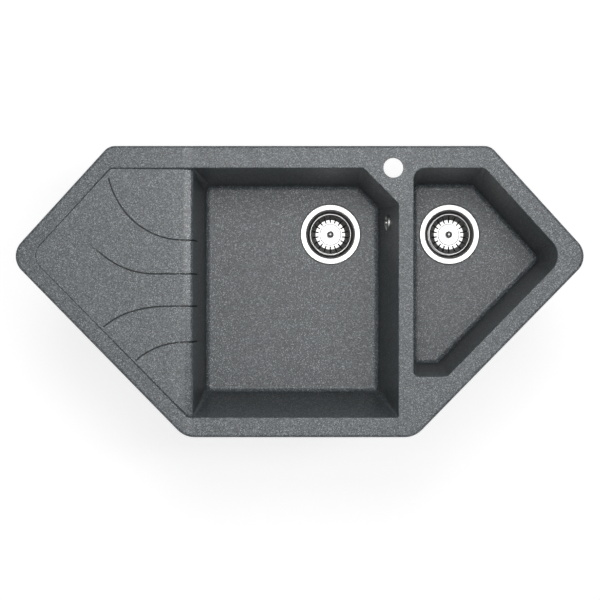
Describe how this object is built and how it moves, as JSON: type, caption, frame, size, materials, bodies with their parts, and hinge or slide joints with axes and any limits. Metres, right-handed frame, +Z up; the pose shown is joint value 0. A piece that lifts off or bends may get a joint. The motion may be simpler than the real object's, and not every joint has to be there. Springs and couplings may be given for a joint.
{
  "type": "corner kitchen sink",
  "caption": "Inset composite corner sink with a sloping drainer, a main bowl, a half bowl, a tap hole, basket strainer wastes, an overflow, fixing clips and trap pipework.",
  "frame": {"origin": "centre of the rim in plan, on the worktop surface (the underside of the rim's sealing tape)", "axes": "+X towards the half bowl along the sink's length, +Y towards the tap ledge at the back, +Z up"},
  "size_m": [1.0002, 0.5132, 0.4973],
  "materials": {
    "granite": "satin dark grey composite granite, finely speckled lighter and darker",
    "polished_steel": "polished stainless steel",
    "zinc_steel": "bright zinc-plated steel",
    "brass": "turned brass",
    "black_rubber": "matt black rubber",
    "seal_foam": "closed-cell sealing tape",
    "white_plastic": "moulded white polypropylene",
    "grey_plastic": "moulded grey polypropylene, ribbed for grip"
  },
  "bodies": {
    "sink": {"body_gasket_1": "black_rubber", "body_gasket_2": "black_rubber", "clamp_screw_1": "polished_steel", "clamp_screw_2": "polished_steel", "clip_inserts": "brass", "clip_jaws": "zinc_steel", "clip_screws": "zinc_steel", "flange_seal_1": "seal_foam", "flange_seal_2": "seal_foam", "link_elbow": "white_plastic", "link_nut": "grey_plastic", "link_washer": "black_rubber", "outlet_nut": "grey_plastic", "outlet_pipe": "white_plastic", "outlet_washer": "black_rubber", "overflow_body": "white_plastic", "overflow_cover": "polished_steel", "overflow_nut_lower": "white_plastic", "overflow_nut_upper": "white_plastic", "overflow_pipe": "white_plastic", "overflow_screw": "polished_steel", "overflow_seal": "black_rubber", "rim_seal": "seal_foam", "sink_body": "granite", "strainer_cup_1": "polished_steel", "strainer_cup_2": "polished_steel", "tail_nut_1": "grey_plastic", "tail_nut_2": "grey_plastic", "tail_washer_1": "black_rubber", "tail_washer_2": "black_rubber", "tee": "white_plastic", "trap_body": "white_plastic", "trap_cup": "grey_plastic", "trap_cup_seal": "black_rubber", "trap_nut": "grey_plastic", "trap_washer": "black_rubber", "waste_body_1": "white_plastic", "waste_body_2": "white_plastic"},
    "strainer_1": {"basket_1": "polished_steel", "basket_cap_1": "polished_steel", "basket_knob_1": "polished_steel", "basket_stopper_1": "black_rubber", "basket_nut_1": "zinc_steel"},
    "strainer_2": {"basket_2": "polished_steel", "basket_cap_2": "polished_steel", "basket_knob_2": "polished_steel", "basket_stopper_2": "black_rubber", "basket_nut_2": "zinc_steel"}
  },
  "joints": [
    {"name": "strainer_1_lift", "type": "slide", "parent": "sink", "child": "strainer_1", "axis": [0, 0, 1], "range_m": [0, 0.06]},
    {"name": "strainer_2_lift", "type": "slide", "parent": "sink", "child": "strainer_2", "axis": [0, 0, 1], "range_m": [0, 0.06]}
  ]
}
